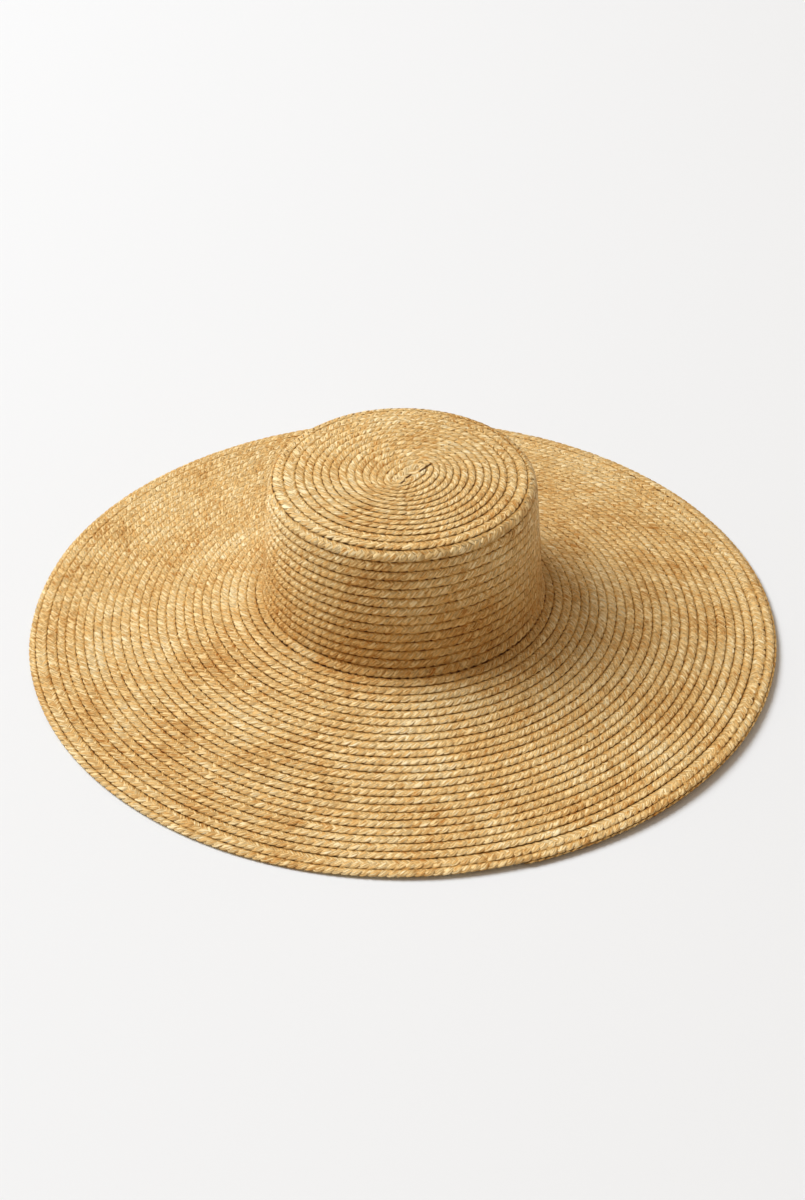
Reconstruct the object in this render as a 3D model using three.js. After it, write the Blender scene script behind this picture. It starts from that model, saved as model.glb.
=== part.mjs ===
import * as THREE from 'three';

// A wide-brimmed sun hat of raffia braid, sewn round and round in rows that lap like shingles.
// Millimetres, +Z up. The origin lies on the surface that the hat rests on, under the middle of the crown.
// The front of the hat faces -Y.

// The wall's outer face runs from the middle of the tip to the rim as a chain of arcs.
// Each arc has a length along the wall, and the angle in degrees by which it turns downwards.
const WALL_ARCS = {
  tip: { run: 80.0, turn: 5.5 },
  top_edge: { run: 10.5, turn: 79.5 },
  side: { run: 76.5, turn: 1.0 },
  brim_root: { run: 11.0, turn: -71.6 },
  brim: { run: 152.5, turn: -11.4 },
};

// Driving dimensions
const ROW_PITCH = 6.1;      // what shows of one braid row, along the wall
const LEDGE = 1.2;          // step down at the lapped edge of each row
const LEDGE_RUN = 0.5;      // how far that step slopes along the wall
const WALL = 2.6;           // mean wall, two layers of braid
const GAP = 0.35;           // clearance between neighbouring pieces
const TIP_ROWS_END = 82.4;  // along the wall, where the tip's last row laps the edge row
const EDGE_ROW_END = 90.5;  // where the row that turns over the top edge laps the side
const SIDE_ROWS_END = 183;  // where the side's last row laps the brim
const RIM_WIDTH = 4.4;      // what shows of the last round of braid
const RIM_CORNER = 1.0;     // radius of the rim's outer edge, top and bottom
const UNDERSIDE_STEP = 21;  // longest stretch between two points of the smooth inner face
const BEND_STEP = 13;       // and the most degrees that such a stretch turns
const ROW_BEND_STEP = 25;   // most degrees that one flat of a row's outer face turns
const CROWN_SEGMENTS = 36;
const BRIM_SEGMENTS = 48;

const RAFFIA = { color: 0xd2a86a, roughness: 0.78, metalness: 0.0 };

const degrees = (angle) => THREE.MathUtils.degToRad(angle);
const wallLength = Object.values(WALL_ARCS).reduce((sum, arc) => sum + arc.run, 0);

// The point at a distance along the wall: radius, height below the tip, and lean below the horizontal.
function wallPoint(distance) {
  let radius = 0;
  let drop = 0;
  let lean = 0;
  let left = Math.min(distance, wallLength);
  for (const { run, turn } of Object.values(WALL_ARCS)) {
    const bend = degrees(turn) / run;
    const length = Math.min(left, run);
    const leanAfter = lean + bend * length;
    radius += (Math.sin(leanAfter) - Math.sin(lean)) / bend;
    drop += (Math.cos(lean) - Math.cos(leanAfter)) / bend;
    lean = leanAfter;
    left -= length;
    if (left <= 0) break;
  }
  return { radius, drop, lean };
}

// The rim's underside is the lowest part, so its wall point lies one wall above the surface.
const tipHeight = wallPoint(wallLength).drop + WALL;

// A profile point at a distance along the wall, raised from its face by a number of millimetres.
function facePoint(distance, raise) {
  const { radius, drop, lean } = wallPoint(distance);
  return new THREE.Vector2(radius + raise * Math.sin(lean), tipHeight - drop + raise * Math.cos(lean));
}

// How many flats of at most so many degrees a bending stretch of wall takes.
function flatsFor(start, end, mostDegrees) {
  const bend = Math.abs(wallPoint(end).lean - wallPoint(start).lean);
  return Math.max(1, Math.ceil(THREE.MathUtils.radToDeg(bend) / mostDegrees));
}

// The outer face of one piece: each row climbs to its lapped edge, then steps down to the next row.
function shingledRows(start, end) {
  const rows = Math.round((end - start) / ROW_PITCH);
  const pitch = (end - start) / rows;
  const points = [];
  for (let row = 0; row < rows; row += 1) {
    const rowStart = start + row * pitch;
    const rowEnd = rowStart + pitch - (row === rows - 1 ? 0 : LEDGE_RUN);
    const flats = flatsFor(rowStart, rowEnd, ROW_BEND_STEP);
    for (let i = 0; i <= flats; i += 1) {
      points.push(facePoint(rowStart + ((rowEnd - rowStart) * i) / flats, LEDGE * (i / flats - 0.5)));
    }
  }
  return points;
}

// Distances along a stretch of wall, closer together where it bends.
function innerStations(start, end) {
  const steps = Math.max(Math.ceil((end - start) / UNDERSIDE_STEP), flatsFor(start, end, BEND_STEP));
  return Array.from({ length: steps }, (_, i) => start + ((end - start) * i) / steps);
}

// The smooth inner face of one piece, from its start to its end.
function innerFace(start, end) {
  let arcStart = 0;
  const stations = [];
  for (const { run } of Object.values(WALL_ARCS)) {
    const from = Math.max(start, arcStart);
    const to = Math.min(end, arcStart + run);
    if (from < to) stations.push(...innerStations(from, to));
    arcStart += run;
  }
  stations.push(end);
  return stations.map((distance) => facePoint(distance, -WALL));
}

function turned(profile, segments) {
  const geometry = new THREE.LatheGeometry(profile, segments);
  geometry.rotateX(Math.PI / 2);
  return geometry;
}

// A stretch of the braided wall, as a ring turned about the hat's axis.
function wallRing(start, end, segments) {
  const profile = [...innerFace(start, end), ...shingledRows(start, end).reverse()];
  profile.push(profile[0].clone());
  return turned(profile, segments);
}

// The tip closes on the axis, above and below.
function crownTip() {
  const profile = [...innerFace(0, TIP_ROWS_END - GAP), ...shingledRows(0, TIP_ROWS_END - GAP).reverse()];
  profile[0].x = 0;
  profile[profile.length - 1].x = 0;
  return turned(profile, CROWN_SEGMENTS);
}

// The last round of braid: a flat foot, a rounded outer edge and a level top.
function rimBraid() {
  const rimStart = wallLength - RIM_WIDTH;
  const inner = facePoint(rimStart, -WALL);
  const outer = facePoint(wallLength, 0);
  const crest = outer.y + LEDGE / 4;
  const profile = [
    new THREE.Vector2(inner.x, 0),
    new THREE.Vector2(outer.x - RIM_CORNER, 0),
    new THREE.Vector2(outer.x, RIM_CORNER),
    new THREE.Vector2(outer.x, crest - RIM_CORNER),
    new THREE.Vector2(outer.x - RIM_CORNER, crest),
    facePoint(rimStart, -LEDGE / 2),
  ];
  profile.push(profile[0].clone());
  return turned(profile, BRIM_SEGMENTS);
}

function piece(name, geometry) {
  const mesh = new THREE.Mesh(geometry, new THREE.MeshStandardMaterial(RAFFIA));
  mesh.name = name;
  return mesh;
}

const hat = new THREE.Group();
hat.add(piece('crown_tip', crownTip()));
hat.add(piece('crown_edge', wallRing(TIP_ROWS_END, EDGE_ROW_END - GAP, CROWN_SEGMENTS)));
hat.add(piece('crown_side', wallRing(EDGE_ROW_END, SIDE_ROWS_END - GAP, CROWN_SEGMENTS)));
hat.add(piece('brim', wallRing(SIDE_ROWS_END, wallLength - RIM_WIDTH - GAP, BRIM_SEGMENTS)));
hat.add(piece('rim_braid', rimBraid()));

export default hat;
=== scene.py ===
"""A wide-brimmed sun hat of raffia plait, sewn round and round from the middle of the tip to the rim."""

import math
from types import SimpleNamespace

import bpy
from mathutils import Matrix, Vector


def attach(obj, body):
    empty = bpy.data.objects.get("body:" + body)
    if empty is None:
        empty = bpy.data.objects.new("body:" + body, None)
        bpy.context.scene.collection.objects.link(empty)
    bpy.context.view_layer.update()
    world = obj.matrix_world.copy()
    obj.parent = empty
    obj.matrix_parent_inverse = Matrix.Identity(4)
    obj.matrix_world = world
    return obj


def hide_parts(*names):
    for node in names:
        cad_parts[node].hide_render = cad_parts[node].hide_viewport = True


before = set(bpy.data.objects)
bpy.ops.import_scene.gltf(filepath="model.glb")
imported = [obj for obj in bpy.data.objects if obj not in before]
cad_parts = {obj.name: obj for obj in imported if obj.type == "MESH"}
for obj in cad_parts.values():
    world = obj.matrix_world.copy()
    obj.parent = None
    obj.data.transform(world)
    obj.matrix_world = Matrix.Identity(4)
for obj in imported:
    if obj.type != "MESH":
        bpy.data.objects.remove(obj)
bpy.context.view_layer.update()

MM = 0.001
TURN = 2.0 * math.pi

# The wall's outer face from the middle of the tip to the rim, as in the CAD.
# Each arc has its run in mm, and the angle in degrees by which it turns downwards.
WALL_ARCS = (
    ("tip", 80.0, 5.5),
    ("top edge", 10.5, 79.5),
    ("side", 76.5, 1.0),
    ("brim root", 11.0, -71.6),
    ("brim", 152.5, -11.4),
)
WALL = 2.6                      # wall thickness, and so the height of the outer face at the rim, in mm
WALL_STEP = 1.0                 # from one point of the wall's profile to the next
PAST_RIM = 12.0                 # the profile goes on past the rim, for strands that reach out there

# Stretches of the spiral: how many turns each has, and how many mm the plait's outer edge gains in a turn.
ROWS = (
    ("straight start", 1.0, 0.0),
    ("tip middle", 12.0, 5.3),
    ("tip outer", 2.0, 7.2),
    ("top edge", 1.0, 8.1),
    ("side", 14.0, 6.5),
    ("brim", 22.0, 6.16),
    ("last wide row", 1.0, 8.0),
    ("rim", 1.0, 5.3),
    ("tucked end", 1.2, 0.6),
)
FIRST_EDGE = 4.4                # from the middle of the tip to the outer edge of the straight start


def turn_at(stretch):
    """The turn of the spiral at which a stretch of ROWS begins."""
    names = [name for name, _, _ in ROWS]
    return sum(turns for _, turns, _ in ROWS[:names.index(stretch)])


EDGE_TURN = turn_at("top edge")
SIDE_TURN = turn_at("side")
BRIM_TURN = turn_at("brim")
RIM_TURN = turn_at("rim")
END_TURN = turn_at("tucked end")

# The pieces: the turns where each begins and ends, and the CAD node that it stands for.
PIECES = (
    ("crown_tip_plait", 0.6, EDGE_TURN, "crown_tip"),
    ("crown_edge_plait", EDGE_TURN, SIDE_TURN, "crown_edge"),
    ("crown_side_plait", SIDE_TURN, BRIM_TURN, "crown_side"),
    ("brim_inner_plait", BRIM_TURN, 39.6, "brim"),
    ("brim_middle_plait", 39.6, 46.9, "brim"),
    ("brim_outer_plait", 46.9, RIM_TURN, "brim"),
    ("rim_plait", RIM_TURN, END_TURN + 0.94, "rim_braid"),
)

# The plait of three strands, in mm.
PLAIT = {
    "Plait length": 15.9,       # one full swing of a strand from side to side and back
    "Swing": 3.9,               # a strand's middle to either side of the plait's middle
    "Half width": 4.7,          # the plait's middle to its edge, where the strands fold over
    "Crossing height": 0.24,    # a strand's rise and fall as it goes over and under
    "Strand width": 5.4,
    "Strand thickness": 1.0,
    "Rounding": 0.26,           # how far the plait's edges turn down
}
STRANDS = 3
SECTION_SIDES = 6
STEPS_PER_PLAIT = 10            # points of a strand in each plait length
GUIDE_STEPS = 72                # points of the plait's guide in each turn of the spiral
SEED = 7
SEED_STEP = 13.7                # how far apart two seeds lie in the noise

# Half a swing of one strand, out from the plait's middle on top and back underneath.
# Each row has the time, how far out the strand is, and how high.
HALF_SWING = (
    (0.0, 0.00, 0.0),
    (0.2, 0.40, 0.8),
    (0.4, 0.80, 1.0),
    (0.6, 1.00, 0.2),
    (0.8, 0.58, -0.9),
    (1.0, 0.00, 0.0),
)
OUT_COLUMN = 1
HEIGHT_COLUMN = 2

# How the rows lap. Slopes are shares of the width across the row, and other sizes are in mm.
LAP_SLOPE = 0.14                # each row's outer part rides up on the next row by this
EDGE_LAP = -0.6                 # that slope's change on the row over the top edge, as a share of it
SIDE_LAP = 0.3                  # its change on the upright side
RIM_LAP = -0.8                  # and its change on the last round, which lies almost flat
LEVEL_AT = 2.2                  # from the row's middle to where it neither rides up nor dips
HIDDEN_FROM = -1.2              # from the row's middle to where the row before covers it
HIDDEN_SLOPE = 0.1              # slope of that covered part
SURFACE_RAISE = -0.3            # the plait's middle plane lies this far below the CAD's outer face
END_TUCK = -0.9                 # and its end lies lower still, under the round before it
SIDE_CREASE = 0.55              # the painted shade in the crease between rows is this much wider on the side

# The plait starts with a short straight piece, so the first turns are ovals round it, in mm.
START_ANGLE = math.radians(48.0)
OVAL_STRETCH = 10.0             # how much longer the smallest ovals are to each side
OVAL_FADE = 22.0                # about this far from the middle they become round
SPIRAL_MIDDLE = (3.5, -5.0, 0.0)    # where the spiral's middle lies from the hat's own
MIDDLE_FADE = 82.0              # and this far from it the rows run true

# The brim's unevenness, in mm.
BRIM_REACH = (110.0, 250.0)     # radius where it begins and where it is full
BRIM_LIFT = 3.5                 # off the table, most at the lift's angle from the front
LIFT_ANGLE = math.radians(50.0)
BRIM_WAVE = 2.0

# What chance adds to the plait, in mm.
ROW_WANDER = 1.2
STRAND_NUDGE = 0.5
STRAND_PLUMP = 0.5
GIRTH_SPREAD = 0.5              # as a share of a strand's width and thickness

# Painted shade where the first turns part a little, near the middle of the tip: x, y, half length and half
# width in mm.
# All of them run the way that the plait starts.
PARTINGS = (
    (13.0, 0.6, 4.4, 1.2),
    (16.6, 5.2, 4.0, 1.0),
    (4.0, -7.0, 3.6, 1.1),
    (0.5, -14.0, 2.4, 0.7),
)

# The straw's colours from its browner to its paler strands, each with the tone at which it is reached.
STRAW_TONES = (
    (0.08, (0.46, 0.19, 0.035, 1.0)),
    (0.36, (0.80, 0.50, 0.18, 1.0)),
    (0.62, (0.94, 0.70, 0.34, 1.0)),
    (0.95, (0.99, 0.875, 0.59, 1.0)),
)
# Colour of the painted shade in the crease between rows and strands.
CREASE_SHADE_COLOUR = (0.075, 0.025, 0.0015, 1.0)

LIGHT_DISTANCE = 10.0           # in metres, far enough to light the table almost evenly
TABLE_HALF_WIDTH = 6.0          # in metres


def wall_profile():
    """Points of the wall's outer face from the middle of the tip outwards, as (radius, height) in mm."""
    points = []
    radius = 0.0
    drop = 0.0
    lean = 0.0
    for _, run, turn in WALL_ARCS:
        bend = math.radians(turn) / run
        count = round(run / WALL_STEP)
        for i in range(count):
            along = lean + bend * run * i / count
            x = radius + (math.sin(along) - math.sin(lean)) / bend
            z = drop + (math.cos(lean) - math.cos(along)) / bend
            points.append((x, z))
        after = lean + bend * run
        radius += (math.sin(after) - math.sin(lean)) / bend
        drop += (math.cos(lean) - math.cos(after)) / bend
        lean = after
    for reach in (0.0, PAST_RIM):
        points.append((radius + reach * math.cos(lean), drop + reach * math.sin(lean)))
    return [(x, drop + WALL - z) for x, z in points]


class Field:
    """An output of a node, so that a formula in a node tree reads as a formula."""

    def __init__(self, tree, socket):
        self.tree = tree
        self.socket = socket

    def math(self, operation, *others):
        """A sum, product or other function of this field and the others."""
        node = self.tree.nodes.new("ShaderNodeMath")
        node.operation = operation
        for socket, value in zip(node.inputs, (self, *others)):
            plug(self.tree, value, socket)
        return Field(self.tree, node.outputs[0])

    def __add__(self, other):
        return self.math("ADD", other)

    def __sub__(self, other):
        return self.math("SUBTRACT", other)

    def __mul__(self, other):
        return self.math("MULTIPLY", other)

    def __truediv__(self, other):
        return self.math("DIVIDE", other)

    def vector(self, operation, other=None, scale=None):
        """The same for vectors."""
        node = self.tree.nodes.new("ShaderNodeVectorMath")
        node.operation = operation
        plug(self.tree, self, node.inputs[0])
        if other is not None:
            plug(self.tree, other, node.inputs[1])
        if scale is not None:
            plug(self.tree, scale, node.inputs["Scale"])
        return Field(self.tree, node.outputs["Value" if operation == "DOT_PRODUCT" else "Vector"])


def plug(tree, value, socket):
    """Joins a field to a socket, or writes a plain value in it."""
    if isinstance(value, Field):
        tree.links.new(value.socket, socket)
    else:
        socket.default_value = value


def add(tree, kind, inputs=None, **settings):
    """A new node with its settings and inputs."""
    node = tree.nodes.new(kind)
    for name, value in settings.items():
        setattr(node, name, value)
    for key, value in (inputs or {}).items():
        plug(tree, value, node.inputs[key])
    return node


def take(tree, node, key=0):
    """One output of a node as a field."""
    return Field(tree, node.outputs[key])


def make(tree, kind, inputs=None, **settings):
    """The first output of a new node as a field."""
    return take(tree, add(tree, kind, inputs, **settings))


def triple(tree, x, y, z):
    """Three values as one vector."""
    return make(tree, "ShaderNodeCombineXYZ", {"X": x, "Y": y, "Z": z})


def climb(tree, value, low, high, gain):
    """0 up to low, then a straight climb to gain at high."""
    reach = {"Value": value, "From Min": low, "From Max": high, "To Max": gain}
    return make(tree, "ShaderNodeMapRange", reach)


def smooth(tree, value, low, high):
    """0 up to low and 1 from high on, with a soft climb between. low may be above high."""
    reach = {"Value": value, "From Min": low, "From Max": high}
    return make(tree, "ShaderNodeMapRange", reach, interpolation_type="SMOOTHSTEP")


def lookup(tree, time, column):
    """The value of one column of HALF_SWING at that time."""
    node = add(tree, "ShaderNodeFloatCurve", {"Value": time})
    curve = node.mapping.curves[0]
    node.mapping.use_clip = False
    node.mapping.extend = "HORIZONTAL"
    while len(curve.points) < len(HALF_SWING):
        curve.points.new(0.5, 0.5)
    for point, row in zip(curve.points, HALF_SWING):
        point.location = (row[0], row[column])
        point.handle_type = "VECTOR"
    node.mapping.update()
    return take(tree, node)


def noise(tree, where, scale, detail=0.0):
    """Smooth noise round 0, from about -0.5 to 0.5."""
    return make(tree, "ShaderNodeTexNoise", {"Vector": where, "Scale": scale, "Detail": detail}) - 0.5


def socket_in(tree, name, kind, default=None):
    """A named input of a node tree."""
    item = tree.interface.new_socket(name, in_out="INPUT", socket_type=kind)
    if default is not None:
        item.default_value = default


def shift_first_turns(tree, place, radial, reach):
    """The first turns, moved off a plain spiral: stretched into ovals, and with their middle aside."""
    along = (math.cos(START_ANGLE), math.sin(START_ANGLE), 0.0)
    fade = ((reach / (OVAL_FADE * MM)).math("POWER", 2.0) * -1.0).math("EXPONENT")
    stretch = radial.vector("DOT_PRODUCT", along) * fade * (OVAL_STRETCH * MM)
    stretched = triple(tree, *along).vector("SCALE", scale=stretch)
    off_middle = climb(tree, reach, MIDDLE_FADE * MM, 0.0, 1.0)
    middle = triple(tree, *(size * MM for size in SPIRAL_MIDDLE)).vector("SCALE", scale=off_middle)
    return place.vector("ADD", stretched).vector("ADD", middle)


def raise_brim(tree, height, radial, angle, radius):
    """The wall's height, with the brim lifted off the table at the front right and waved all round."""
    begins, full = BRIM_REACH
    outer = climb(tree, radius, begins * MM, full * MM, 1.0)
    towards = (angle - LIFT_ANGLE).math("COSINE").math("MAXIMUM", 0.0).math("POWER", 3.0)
    lift = towards * outer.math("POWER", 1.5) * (BRIM_LIFT * MM)
    wave = noise(tree, radial, 1.6) * outer * (BRIM_WAVE * MM)
    return height + lift + wave


def wall_point_group():
    """A distance along the wall and an angle round the hat, turned into a place and its directions."""
    tree = bpy.data.node_groups.new("Wall point", "GeometryNodeTree")
    socket_in(tree, "Wall", "NodeSocketGeometry")
    socket_in(tree, "Distance", "NodeSocketFloat")
    socket_in(tree, "Angle", "NodeSocketFloat")
    for name in ("Position", "Outward", "Normal"):
        tree.interface.new_socket(name, in_out="OUTPUT", socket_type="NodeSocketVector")
    given = tree.nodes.new("NodeGroupInput")
    wall, distance, angle = (take(tree, given, name) for name in ("Wall", "Distance", "Angle"))

    # Past the middle of the tip, a distance below nothing comes out on the other side.
    side = distance.math("SIGN")
    reach = distance.math("ABSOLUTE")
    sample = add(tree, "GeometryNodeSampleCurve", {"Curves": wall, "Length": reach}, mode="LENGTH")
    at = add(tree, "ShaderNodeSeparateXYZ", {0: take(tree, sample, "Position")})
    heading = add(tree, "ShaderNodeSeparateXYZ", {0: take(tree, sample, "Tangent")})
    radius = take(tree, at, "X")
    flat = take(tree, heading, "X")
    slope = take(tree, heading, "Z") * side

    # Angle 0 is the front, at -Y, and angles grow towards +X.
    radial = triple(tree, angle.math("SINE"), angle.math("COSINE") * -1.0, 0.0)
    upward = triple(tree, 0.0, 0.0, 1.0)
    height = raise_brim(tree, take(tree, at, "Z"), radial, angle, radius)
    place = shift_first_turns(tree, radial.vector("SCALE", scale=radius * side), radial, reach)
    place = place.vector("ADD", upward.vector("SCALE", scale=height))
    outward = radial.vector("SCALE", scale=flat).vector("ADD", upward.vector("SCALE", scale=slope))
    downward = radial.vector("SCALE", scale=slope * -1.0)
    normal = downward.vector("ADD", upward.vector("SCALE", scale=flat))

    result = tree.nodes.new("NodeGroupOutput")
    plug(tree, place, result.inputs["Position"])
    plug(tree, outward, result.inputs["Outward"])
    plug(tree, normal, result.inputs["Normal"])
    return tree


def on_wall(tree, given, wall_point, distance, angle):
    """The place, outward direction and normal at a distance along the wall and an angle."""
    where = {"Wall": given["Geometry"], "Distance": distance, "Angle": angle}
    node = add(tree, "GeometryNodeGroup", where, node_tree=wall_point)
    return [take(tree, node, name) for name in ("Position", "Outward", "Normal")]


def row_edge(tree, turns):
    """Where the plait's outer edge lies along the wall, in metres, after so many turns."""
    edge = None
    start = 0.0
    for _, count, gain in ROWS:
        gained = climb(tree, turns, start, start + count, count * gain * MM)
        edge = gained if edge is None else edge + gained
        start += count
    return edge + FIRST_EDGE * MM


def guide_curve(tree, given, wall_point):
    """A curve along the middle of the plait, which tells where a length of the plait lies."""
    points = int(sum(count for _, count, _ in ROWS) * GUIDE_STEPS) + 1
    line = make(tree, "GeometryNodeCurvePrimitiveLine")
    line = make(tree, "GeometryNodeResampleCurve", {"Curve": line, "Count": points})
    turns = make(tree, "GeometryNodeInputIndex") / GUIDE_STEPS
    middle = row_edge(tree, turns) - given["Half width"]
    place, _, _ = on_wall(tree, given, wall_point, middle, turns * -TURN)
    return make(tree, "GeometryNodeSetPosition", {"Geometry": line, "Position": place})


def steps_to(tree, given, guide, turns):
    """Whole steps of the plait up to that turn of the spiral, so that neighbouring pieces meet."""
    length = take(tree, add(tree, "GeometryNodeSplineParameter"), "Length")
    at = {"Geometry": guide, "Value": length, "Index": (turns * GUIDE_STEPS).math("ROUND")}
    length = make(tree, "GeometryNodeSampleIndex", at, data_type="FLOAT", domain="POINT")
    return (length / given["Plait length"] * STEPS_PER_PLAIT).math("FLOOR")


def strand_curves(tree, given, guide):
    """The strands, one curve each, and the number, length, turn and half swing of each of their points."""
    first = steps_to(tree, given, guide, given["First turn"])
    count = steps_to(tree, given, guide, given["Last turn"]) - first + 1.0
    line = make(tree, "GeometryNodeCurvePrimitiveLine")
    line = make(tree, "GeometryNodeResampleCurve", {"Curve": line, "Count": count})
    copies = {"Geometry": line, "Amount": STRANDS}
    strands = make(tree, "GeometryNodeDuplicateElements", copies, domain="SPLINE")

    index = make(tree, "GeometryNodeInputIndex")
    number = ((index + 0.5) / count).math("FLOOR")
    step = index - number * count + first
    length = given["Plait length"] * (step / STEPS_PER_PLAIT + 1.0 - number / STRANDS)
    at = {"Curves": guide, "Value": index / GUIDE_STEPS, "Length": length}
    sample = add(tree, "GeometryNodeSampleCurve", at, data_type="FLOAT", mode="LENGTH")
    half_swings = step / (STEPS_PER_PLAIT / 2.0)
    turns = take(tree, sample, "Value")
    return strands, SimpleNamespace(number=number, length=length, turns=turns, half_swings=half_swings)


def wander(tree, given, turns):
    """How far a row strays along the wall at that turn of the spiral."""
    around = turns * -TURN
    layer = turns * 0.9 + given["Seed"] * SEED_STEP
    at = triple(tree, around.math("SINE") * 3.0, around.math("COSINE") * 3.0, layer)
    return noise(tree, at, 1.0, 1.0) * (ROW_WANDER * MM)


def add_swing(tree, given, point):
    """Adds to a strand's points how far across the row and how high above it they lie."""
    seed = given["Seed"] * SEED_STEP

    def chance(scale, apart, shift):
        """Smooth noise along the strands, different for each."""
        return noise(tree, triple(tree, point.length * scale, point.number * apart, seed + shift), 1.0)

    # A hair is added, so that rounding doesn't leave a whole half swing just short of itself.
    hair = 0.001
    swings = point.half_swings + hair
    time = swings.math("FRACT") - hair
    side = swings.math("FLOOR").math("MODULO", 2.0) * -2.0 + 1.0
    point.share = lookup(tree, time, OUT_COLUMN) * side
    point.swing = point.share * given["Swing"] + chance(120.0, 5.0, 0.0) * (STRAND_NUDGE * MM)
    point.girth = chance(90.0, 7.0, 3.0) * GIRTH_SPREAD + 1.0
    crossing = lookup(tree, time, HEIGHT_COLUMN) * given["Crossing height"]
    rounding = point.share * point.share * given["Rounding"] * -1.0
    plump = chance(150.0, 9.0, 6.0) * (STRAND_PLUMP * MM)
    point.height = crossing + rounding + plump


def add_lap(tree, given, point):
    """Adds how rows lap: the outer part rides up on the next, the inner part lies under the one before."""
    turns = point.turns
    leaves_tip = climb(tree, turns, EDGE_TURN - 0.8, EDGE_TURN, EDGE_LAP)
    reaches_side = climb(tree, turns, SIDE_TURN, SIDE_TURN + 0.6, -EDGE_LAP)
    side_starts = climb(tree, turns, SIDE_TURN - 0.4, SIDE_TURN + 0.2, 1.0)
    side_ends = climb(tree, turns, BRIM_TURN - 0.2, BRIM_TURN + 1.0, 1.0)
    rim_starts = climb(tree, turns, RIM_TURN - 0.1, RIM_TURN + 0.3, RIM_LAP)
    point.on_side = side_starts - side_ends
    change = leaves_tip + reaches_side + point.on_side * SIDE_LAP + rim_starts
    point.slope = given["Lap slope"] * (change + 1.0)

    shown = point.swing.math("MAXIMUM", HIDDEN_FROM * MM)
    lap = (shown - LEVEL_AT * MM) * point.slope + (point.swing - shown) * HIDDEN_SLOPE
    tuck = climb(tree, turns, END_TURN - 0.1, END_TURN + 0.3, END_TUCK * MM)
    point.raised = lap + point.height + tuck + SURFACE_RAISE * MM


def store(tree, geometry, name, value, kind="FLOAT"):
    """The geometry with a named attribute on its points."""
    what = {"Geometry": geometry, "Name": name, "Value": value}
    return make(tree, "GeometryNodeStoreNamedAttribute", what, data_type=kind, domain="POINT")


def stored(tree, name, kind="FLOAT"):
    """A named attribute of the geometry."""
    return make(tree, "GeometryNodeInputNamedAttribute", {"Name": name}, data_type=kind)


def lay_strands(tree, given, wall_point, strands, point):
    """The strands laid on the wall, with what their surface has to know about them."""
    distance = row_edge(tree, point.turns) - given["Half width"] + point.swing
    distance = distance + wander(tree, given, point.turns)
    place, outward, normal = on_wall(tree, given, wall_point, distance, point.turns * -TURN)
    place = place.vector("ADD", normal.vector("SCALE", scale=point.raised))

    # How far past the edge of the row before they lie. The first turns come out from under no row.
    round_before = point.turns - 1.0
    past_lap = distance - row_edge(tree, round_before) - wander(tree, given, round_before)
    # On the side it is moved out by SIDE_CREASE, so that the painted crease shade reaches further there.
    past_lap = past_lap + climb(tree, point.turns, 2.2, 1.8, 10.0 * MM) - point.on_side * (SIDE_CREASE * MM)

    for name, value in (("middle", place), ("outwards", outward)):
        strands = store(tree, strands, name, value, "FLOAT_VECTOR")
    known = {"swung": point.swing, "along": point.length, "strand": point.number, "past_lap": past_lap}
    for name, value in known.items():
        strands = store(tree, strands, name, value)
    strands = make(tree, "GeometryNodeSetPosition", {"Geometry": strands, "Position": place})

    # Each strand lies flat on the row, which slopes and rounds off towards its edges.
    lean = point.share * given["Rounding"] / given["Swing"] * 2.0 - point.slope
    up = normal.vector("ADD", outward.vector("SCALE", scale=lean))
    tangent = make(tree, "GeometryNodeInputTangent")
    up = up.vector("SUBTRACT", tangent.vector("SCALE", scale=up.vector("DOT_PRODUCT", tangent)))
    up = up.vector("NORMALIZE")
    return make(tree, "GeometryNodeSetCurveNormal", {"Curve": strands, "Normal": up}, mode="FREE")


def strand_section(tree, given):
    """A strand's section, flat on top, which remembers how far to the side and how high its points lie."""
    size = {"Resolution": SECTION_SIDES, "Radius": 0.5}
    oval = make(tree, "GeometryNodeCurvePrimitiveCircle", size, mode="RADIUS")
    turned = (0.0, 0.0, math.pi / SECTION_SIDES)
    oval = make(tree, "GeometryNodeTransform", {"Geometry": oval, "Rotation": turned})
    stretched = triple(tree, given["Strand thickness"], given["Strand width"], 1.0)
    oval = make(tree, "GeometryNodeTransform", {"Geometry": oval, "Scale": stretched})
    at = add(tree, "ShaderNodeSeparateXYZ", {0: make(tree, "GeometryNodeInputPosition")})
    oval = store(tree, oval, "across", take(tree, at, "Y") / given["Strand width"] * 2.0)
    return store(tree, oval, "above", take(tree, at, "X") / given["Strand thickness"] * 2.0)


def fold_edges(tree, given, mesh):
    """The strands folded over at the plait's edges: what would reach past an edge is pressed back to it."""
    middle = stored(tree, "middle", "FLOAT_VECTOR")
    outwards = stored(tree, "outwards", "FLOAT_VECTOR")
    swung = stored(tree, "swung")
    off_middle = make(tree, "GeometryNodeInputPosition").vector("SUBTRACT", middle)
    reach = swung + off_middle.vector("DOT_PRODUCT", outwards)
    kept = reach.math("MINIMUM", given["Half width"]).math("MAXIMUM", given["Half width"] * -1.0)
    folded = outwards.vector("SCALE", scale=kept - reach)
    mesh = make(tree, "GeometryNodeSetPosition", {"Geometry": mesh, "Offset": folded})
    mesh = store(tree, mesh, "past_lap", stored(tree, "past_lap") + kept - swung)
    mesh = store(tree, mesh, "from_edge", given["Half width"] - kept)
    for name in ("middle", "outwards", "swung"):
        mesh = make(tree, "GeometryNodeRemoveAttribute", {"Geometry": mesh, "Name": name})
    return mesh


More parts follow.
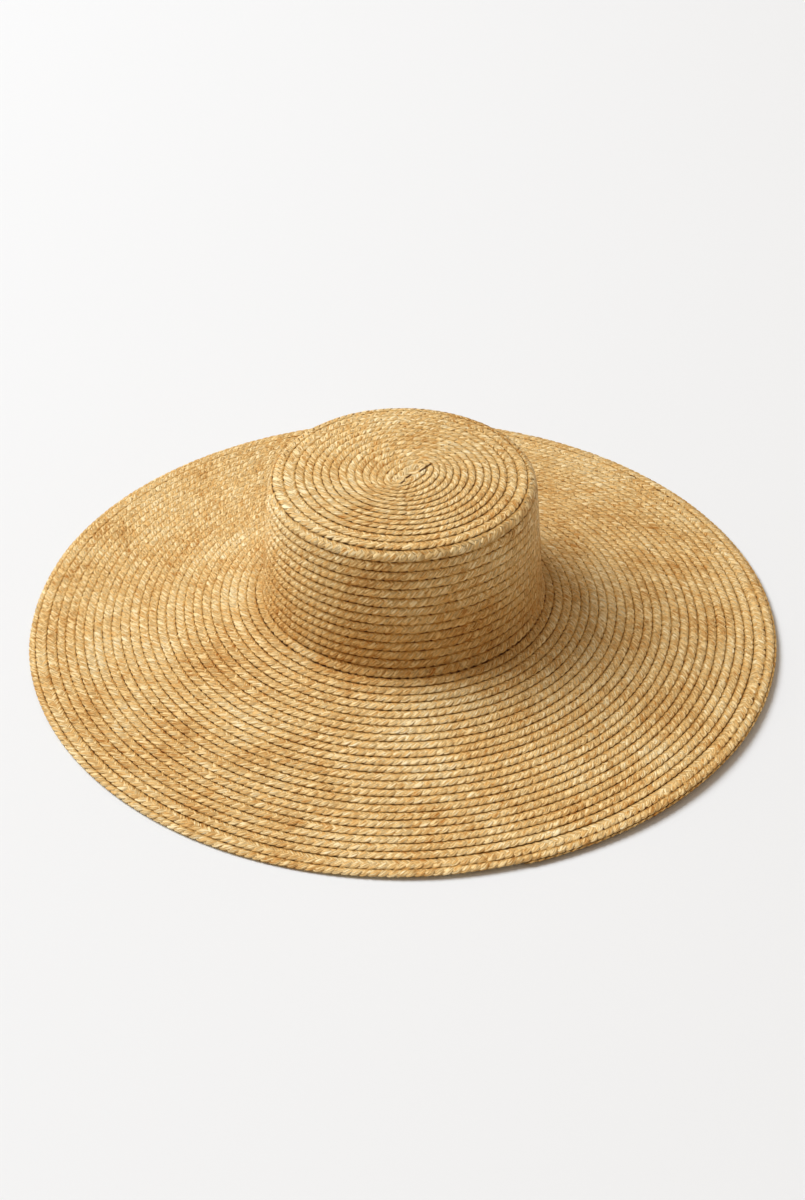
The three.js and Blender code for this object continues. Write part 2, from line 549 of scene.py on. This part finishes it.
def plait_tree(wall_point, material):
    """The stretch of plait between two turns of the spiral, sewn onto the wall."""
    tree = bpy.data.node_groups.new("Sewn plait", "GeometryNodeTree")
    socket_in(tree, "Geometry", "NodeSocketGeometry")
    tree.interface.new_socket("Geometry", in_out="OUTPUT", socket_type="NodeSocketGeometry")
    socket_in(tree, "First turn", "NodeSocketFloat", 0.0)
    socket_in(tree, "Last turn", "NodeSocketFloat", 1.0)
    for name, size in PLAIT.items():
        socket_in(tree, name, "NodeSocketFloat", size * MM)
    socket_in(tree, "Lap slope", "NodeSocketFloat", LAP_SLOPE)
    socket_in(tree, "Seed", "NodeSocketInt", SEED)
    given = {socket.name: Field(tree, socket) for socket in tree.nodes.new("NodeGroupInput").outputs}

    guide = guide_curve(tree, given, wall_point)
    strands, point = strand_curves(tree, given, guide)
    add_swing(tree, given, point)
    add_lap(tree, given, point)
    strands = lay_strands(tree, given, wall_point, strands, point)

    section = strand_section(tree, given)
    swept = {"Curve": strands, "Profile Curve": section, "Scale": point.girth, "Fill Caps": True}
    mesh = fold_edges(tree, given, make(tree, "GeometryNodeCurveToMesh", swept))
    mesh = make(tree, "GeometryNodeSetShadeSmooth", {"Geometry": mesh})
    mesh = make(tree, "GeometryNodeRealizeInstances", {"Geometry": mesh})
    mesh = make(tree, "GeometryNodeSetMaterial", {"Geometry": mesh, "Material": material})
    plug(tree, mesh, tree.nodes.new("NodeGroupOutput").inputs["Geometry"])
    return tree


def surface_point(tree):
    """What a point of the straw knows: its place on its strand and row, and its place on the hat."""
    names = ("along", "strand", "across", "above", "past_lap", "from_edge")
    point = SimpleNamespace()
    for name in names:
        setattr(point, name, take(tree, add(tree, "ShaderNodeAttribute", attribute_name=name), "Fac"))
    point.place = take(tree, add(tree, "ShaderNodeTexCoord"), "Object")
    at = add(tree, "ShaderNodeSeparateXYZ", {0: point.place})
    point.x, point.y, point.height = (take(tree, at, name) for name in ("X", "Y", "Z"))
    point.radius = (point.x * point.x + point.y * point.y).math("SQRT")
    point.aside = point.across.math("ABSOLUTE")

    # Straw runs in bundles of fibres along each strand.
    bundle_at = triple(tree, point.along * 130.0, point.across * 1.7, point.strand * 17.0)
    fibre_at = triple(tree, point.along * 260.0, point.across * 4.5, point.strand * 31.0)
    point.bundle = noise(tree, bundle_at, 1.0, 1.0)
    point.fibre = noise(tree, fibre_at, 1.0, 2.0)
    # Thin cracks between the bundles, which are painted darker as shade in them and sunk in by the bump.
    point.crack = smooth(tree, point.bundle.math("ABSOLUTE"), 0.07, 0.0) * 0.4
    return point


def straw_colour(tree, point):
    """The straw's tone: each strand's own, slow changes along it, patches of the whole hat, and fibres."""
    own = noise(tree, triple(tree, point.along * 120.0, point.strand * 11.0, 0.0), 1.0, 1.0)
    slow = noise(tree, triple(tree, point.along * 7.0, point.strand * 23.0, 4.0), 1.0, 1.0)
    patch = noise(tree, point.place, 24.0, 4.0)
    tone = own * 0.35 + slow * 0.6 + patch * 0.7 + point.bundle + point.fibre * 1.3 + 0.48
    ramp = add(tree, "ShaderNodeValToRGB", {"Fac": tone})
    stops = ramp.color_ramp.elements
    while len(stops) < len(STRAW_TONES):
        stops.new(0.5)
    for stop, (where, colour) in zip(stops, STRAW_TONES):
        stop.position = where
        stop.color = colour
    return take(tree, ramp, "Color")


def partings(tree, point):
    """Painted shade in the gaps where the first turns part."""
    cosine = math.cos(START_ANGLE)
    sine = math.sin(START_ANGLE)
    dark = None
    for x, y, half_length, half_width in PARTINGS:
        from_x = point.x - x * MM
        from_y = point.y - y * MM
        lengthways = (from_x * cosine + from_y * sine).math("ABSOLUTE")
        sideways = (from_y * cosine - from_x * sine).math("ABSOLUTE")
        gap = smooth(tree, lengthways, half_length * MM, half_length * 0.6 * MM)
        gap = gap * smooth(tree, sideways, half_width * MM, half_width * 0.5 * MM)
        dark = gap if dark is None else dark.math("MAXIMUM", gap)
    return dark * smooth(tree, point.height, 110.0 * MM, 114.0 * MM)


def painted_crease_shade(tree, point, under, sewn):
    """Painted shade in the crease where a row comes out, and in the notches and face of its outer edge."""
    dotted = (noise(tree, point.place, 230.0, 1.0) * 5.0 + 0.6).math("MINIMUM", 1.0).math("MAXIMUM", 0.0)
    uneven = (noise(tree, point.place, 70.0, 1.0) * 2.0 + 0.9).math("MINIMUM", 1.0)
    crease = smooth(tree, point.past_lap, 0.45 * MM, 0.15 * MM) * under
    notch = smooth(tree, point.from_edge, 0.9 * MM, 0.2 * MM) * smooth(tree, point.aside, 0.35, 0.85)
    crease = crease.math("MAXIMUM", notch * sewn * 0.75)
    crease = crease * smooth(tree, point.above, -0.6, 0.0) * dotted
    edge_face = smooth(tree, point.from_edge, 0.5 * MM, 0.1 * MM) * smooth(tree, point.above, 0.75, 0.3)
    return crease.math("MAXIMUM", edge_face * sewn * uneven)


def tinted(tree, colour, amount, green, blue):
    """The colour times an amount, with powers of it for green and blue, which makes it warmer below 1."""
    tint = triple(tree, amount, amount.math("POWER", green), amount.math("POWER", blue))
    return colour.vector("MULTIPLY", tint)


def raffia_material():
    """Natural raffia: honey tan, with paler and browner strands, fine fibres, and painted shade where rows
    and strands meet.
    """
    material = bpy.data.materials.new("raffia")
    material.use_nodes = True
    tree = material.node_tree
    tree.nodes.clear()
    point = surface_point(tree)

    # The painted shade leaves out the inner part of a row, which lies under the row before.
    # The hat's outermost edge is sewn onto no other row, so it gets no painted shade at its edge and stays
    # pale.
    under = smooth(tree, point.past_lap, -2.0 * MM, -1.0 * MM)
    sewn = smooth(tree, point.radius, 247.6 * MM, 246.6 * MM)
    dark = painted_crease_shade(tree, point, under, sewn).math("MAXIMUM", partings(tree, point))
    # Painted shade also falls in those cracks and along the sides of each strand, where it meets the next.
    dark = dark.math("MAXIMUM", point.crack).math("MAXIMUM", smooth(tree, point.aside, 0.7, 1.0) * 0.3)
    # Painted shade: the straw's colour mixed towards the crease shade colour by the mask above.
    crease_shade_mix = add(tree, "ShaderNodeMix", {"B": CREASE_SHADE_COLOUR}, data_type="RGBA")
    plug(tree, dark, crease_shade_mix.inputs["Factor"])
    first = next(socket for socket in crease_shade_mix.inputs if socket.name == "A" and socket.type == "RGBA")
    plug(tree, straw_colour(tree, point), first)
    colour = Field(tree, next(socket for socket in crease_shade_mix.outputs if socket.type == "RGBA"))

    # Light that has passed through the straw makes both sides of each crease a warmer colour.
    beside = smooth(tree, point.past_lap, 1.7 * MM, 0.3 * MM) * under
    beside = beside.math("MAXIMUM", smooth(tree, point.from_edge, 1.0 * MM, 0.1 * MM) * sewn * 0.8)
    colour = tinted(tree, colour, beside * -0.2 + 1.0, 1.8, 3.4)

    # The tip is a little paler, and the crown a little darker and browner towards its foot, than the rest.
    tip = smooth(tree, point.height, 114.0 * MM, 117.0 * MM)
    foot = smooth(tree, point.height, 96.0 * MM, 40.0 * MM)
    foot = foot * smooth(tree, point.radius, 112.0 * MM, 94.0 * MM)
    colour = tinted(tree, colour, tip * 0.04 - foot * 0.19 + 1.0, 1.6, 2.6)

    relief = point.bundle + point.fibre * 0.6 - point.crack
    grooves = add(tree, "ShaderNodeBump", {"Strength": 0.8, "Distance": 0.5 * MM, "Height": relief})
    surface = add(tree, "ShaderNodeBsdfPrincipled", {
        "Base Color": colour,
        "Roughness": point.fibre * 0.3 + 0.62,
        "Specular IOR Level": 0.12,
        "Normal": take(tree, grooves, "Normal"),
    })
    output = tree.nodes.new("ShaderNodeOutputMaterial")
    tree.links.new(surface.outputs[0], output.inputs["Surface"])
    return material


def wall_curve():
    """The wall's profile as a curve in the XZ plane, for the plait's node tree to measure along."""
    curve = bpy.data.curves.new("wall", "CURVE")
    curve.dimensions = "3D"
    points = wall_profile()
    spline = curve.splines.new("POLY")
    spline.points.add(len(points) - 1)
    for point, (radius, height) in zip(spline.points, points):
        point.co = (radius * MM, 0.0, height * MM, 1.0)
    return curve


def link(name, data):
    """A new object in the scene."""
    item = bpy.data.objects.new(name, data)
    bpy.context.collection.objects.link(item)
    return item


def sew(name, first_turn, last_turn, wall, tree):
    """One piece of the hat: the plait between two turns, as a plain mesh."""
    guide = link(name + "_guide", wall)
    modifier = guide.modifiers.new("plait", "NODES")
    modifier.node_group = tree
    sockets = {item.name: item.identifier for item in tree.interface.items_tree if item.in_out == "INPUT"}
    modifier[sockets["First turn"]] = first_turn
    modifier[sockets["Last turn"]] = last_turn
    for key, value in PLAIT.items():
        modifier[sockets[key]] = value * MM
    graph = bpy.context.evaluated_depsgraph_get()
    sewn = guide.evaluated_get(graph)
    mesh = bpy.data.meshes.new_from_object(sewn, preserve_all_data_layers=True, depsgraph=graph)
    bpy.data.objects.remove(guide)
    mesh.name = name
    return link(name, mesh)


def table():
    """A wide table of white paper, on which the hat rests."""
    sides = ((-1, -1), (1, -1), (1, 1), (-1, 1))
    corners = [(x * TABLE_HALF_WIDTH, y * TABLE_HALF_WIDTH, 0.0) for x, y in sides]
    mesh = bpy.data.meshes.new("floor")
    mesh.from_pydata(corners, [], [(0, 1, 2, 3)])
    floor = link("floor", mesh)
    paper = bpy.data.materials.new("paper")
    paper.use_nodes = True
    shader = paper.node_tree.nodes["Principled BSDF"]
    shader.inputs["Base Color"].default_value = (0.815, 0.845, 0.87, 1.0)
    shader.inputs["Roughness"].default_value = 0.9
    shader.inputs["Specular IOR Level"].default_value = 0.1
    mesh.materials.append(paper)


def shine(name, kind, towards, energy, colour):
    """A far light that shines on the hat along a direction."""
    light = bpy.data.lights.new(name, kind)
    light.energy = energy
    light.color = colour
    lamp = link(name, light)
    direction = Vector(towards).normalized()
    lamp.rotation_euler = direction.to_track_quat("-Z", "Y").to_euler()
    lamp.location = direction * -LIGHT_DISTANCE
    return light


def lights():
    """A large soft window at the left, light from pale walls on both sides, and the room's faint glow."""
    world = bpy.data.worlds.new("room")
    world.use_nodes = True
    room = world.node_tree.nodes["Background"]
    room.inputs["Color"].default_value = (1.3, 0.93, 0.64, 1.0)
    room.inputs["Strength"].default_value = 0.07
    bpy.context.scene.world = world

    strength = 3.32                 # where it falls straight on, in watts for each square metre
    half_angle = math.radians(18.0)
    power = strength * math.pi * LIGHT_DISTANCE ** 2
    window = shine("window", "AREA", (0.61, -0.2, -0.77), power, (0.965, 1.0, 1.04))
    window.shape = "DISK"
    window.size = 2.0 * LIGHT_DISTANCE * math.tan(half_angle)
    for name, towards, energy in (("wall", (0.85, 0.1, -0.5), 0.6), ("glow", (-0.7, -0.1, -0.7), 0.75)):
        shine(name, "SUN", towards, energy, (1.14, 0.97, 0.80)).angle = math.radians(110.0)


def camera():
    """The photograph's view, from the front and above."""
    data = bpy.data.cameras.new("camera")
    data.lens = 62.6
    data.sensor_width = 36.0
    data.sensor_fit = "AUTO"
    data.clip_end = 50.0
    eye = link("camera", data)
    eye.location = (0.0, -1.1215, 0.8565)
    eye.rotation_euler = (math.radians(53.16), 0.0, 0.0)
    bpy.context.scene.camera = eye


plait = plait_tree(wall_point_group(), raffia_material())
wall = wall_curve()
for name, first_turn, last_turn, node in PIECES:
    piece = sew(name, first_turn, last_turn, wall, plait)
    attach(piece, "root")
    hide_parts(node)
bpy.data.curves.remove(wall)

table()
lights()
camera()
bpy.context.scene.view_settings.view_transform = "Standard"
